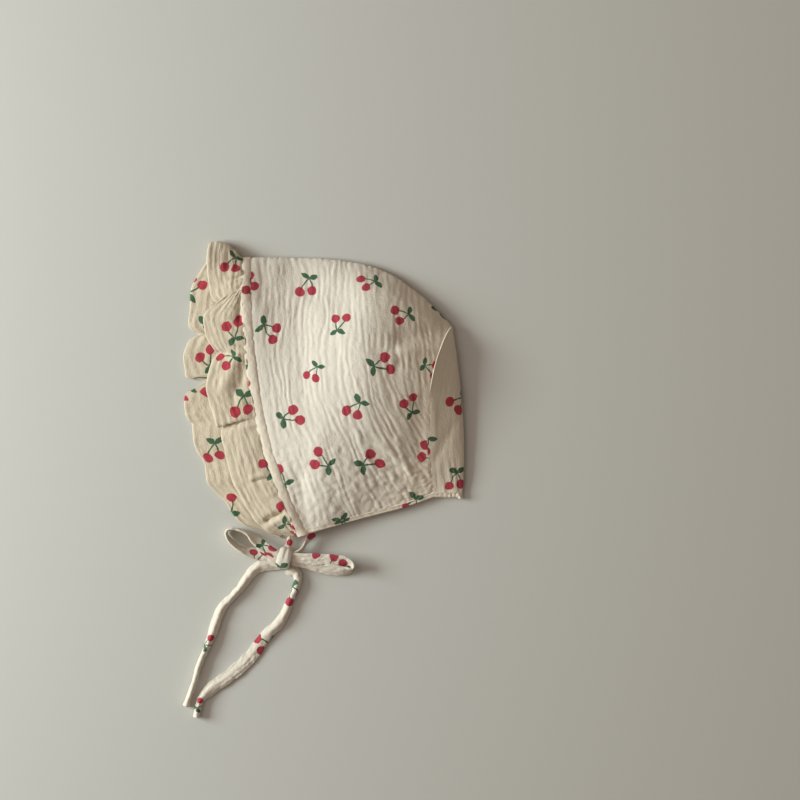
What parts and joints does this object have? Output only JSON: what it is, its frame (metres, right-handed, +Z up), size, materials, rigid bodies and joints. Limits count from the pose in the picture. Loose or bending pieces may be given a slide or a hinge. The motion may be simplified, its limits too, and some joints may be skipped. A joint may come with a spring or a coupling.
{
  "type": "baby sun bonnet",
  "caption": "Soft cotton gauze baby bonnet with a gathered frill round the face, an open neck and cloth ties in a bow, lying on its side.",
  "frame": {"origin": "on the surface that the bonnet lies on, under the middle of its box without the ties", "axes": "+X from the face opening towards the nape, +Y from the neck edge towards the top fold, +Z up from the surface through the upper ear's side"},
  "size_m": [0.1842, 0.3097, 0.0251],
  "materials": {
    "printed_gauze": "cream crinkled double gauze with a scattered red cherry and green leaf print",
    "band_gauze": "the same gauze, folded double and stitched flat",
    "tie_gauze": "the same gauze, sewn into narrow flat ties"
  },
  "bodies": {
    "root": {"crown": "printed_gauze", "back_panel": "printed_gauze", "ruffle": "printed_gauze", "face_band": "band_gauze", "neck_binding": "band_gauze", "tie_upper_ear_lead": "tie_gauze", "tie_lower_ear_lead": "tie_gauze", "tie_knot": "tie_gauze", "tie_left_loop": "tie_gauze", "tie_right_loop": "tie_gauze", "tie_left_tail": "tie_gauze", "tie_right_tail": "tie_gauze"}
  },
  "joints": []
}
